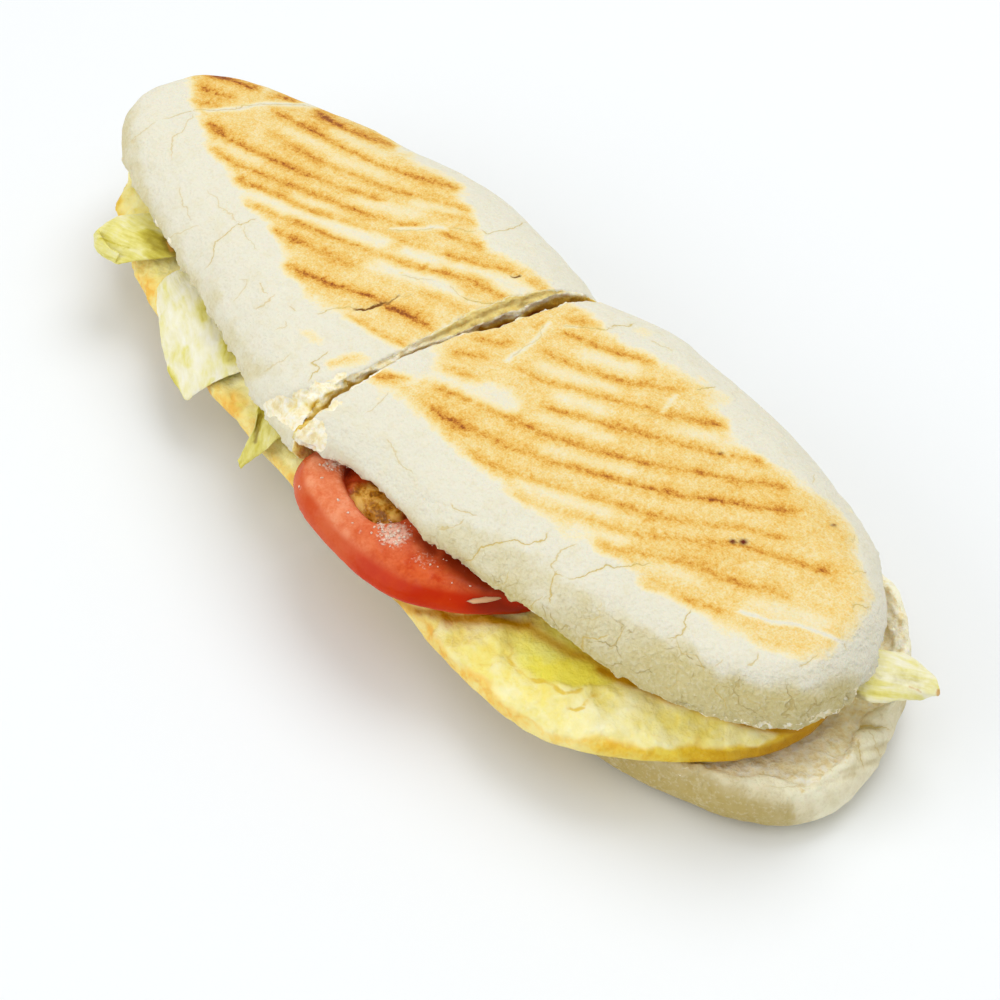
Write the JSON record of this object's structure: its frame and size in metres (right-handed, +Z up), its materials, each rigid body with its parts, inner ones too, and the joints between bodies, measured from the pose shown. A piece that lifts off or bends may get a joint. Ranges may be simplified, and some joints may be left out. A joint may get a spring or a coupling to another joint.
{
  "type": "grilled baguette sandwich",
  "caption": "Pressed baguette sandwich with grill marks, cut across the middle and laid end to end, filled with a thick omelette, a tomato slice and lettuce leaves.",
  "frame": {"origin": "middle of the sandwich's box, at the level of the table it lies on", "axes": "+X along the loaf from the far half towards the near half, -Y towards the open side where the filling shows, +Z up"},
  "size_m": [0.248, 0.0953, 0.0448],
  "materials": {
    "grilled_crust": "dry floury crust with brown grill lines",
    "lower_crust": "dry floury crust",
    "omelette": "moist cooked egg with a darker skin",
    "tomato": "wet flesh and glossy skin",
    "lettuce": "thin waxy leaf with pale ribs"
  },
  "bodies": {
    "root": {"bread_lower_far": "lower_crust", "bread_lower_near": "lower_crust", "omelette_far": "omelette", "omelette_near": "omelette", "tomato_slice": "tomato", "lettuce_curled": "lettuce", "lettuce_broad": "lettuce", "lettuce_twisted": "lettuce", "lettuce_end": "lettuce", "bread_upper_far": "grilled_crust", "bread_upper_near": "grilled_crust"}
  },
  "joints": []
}
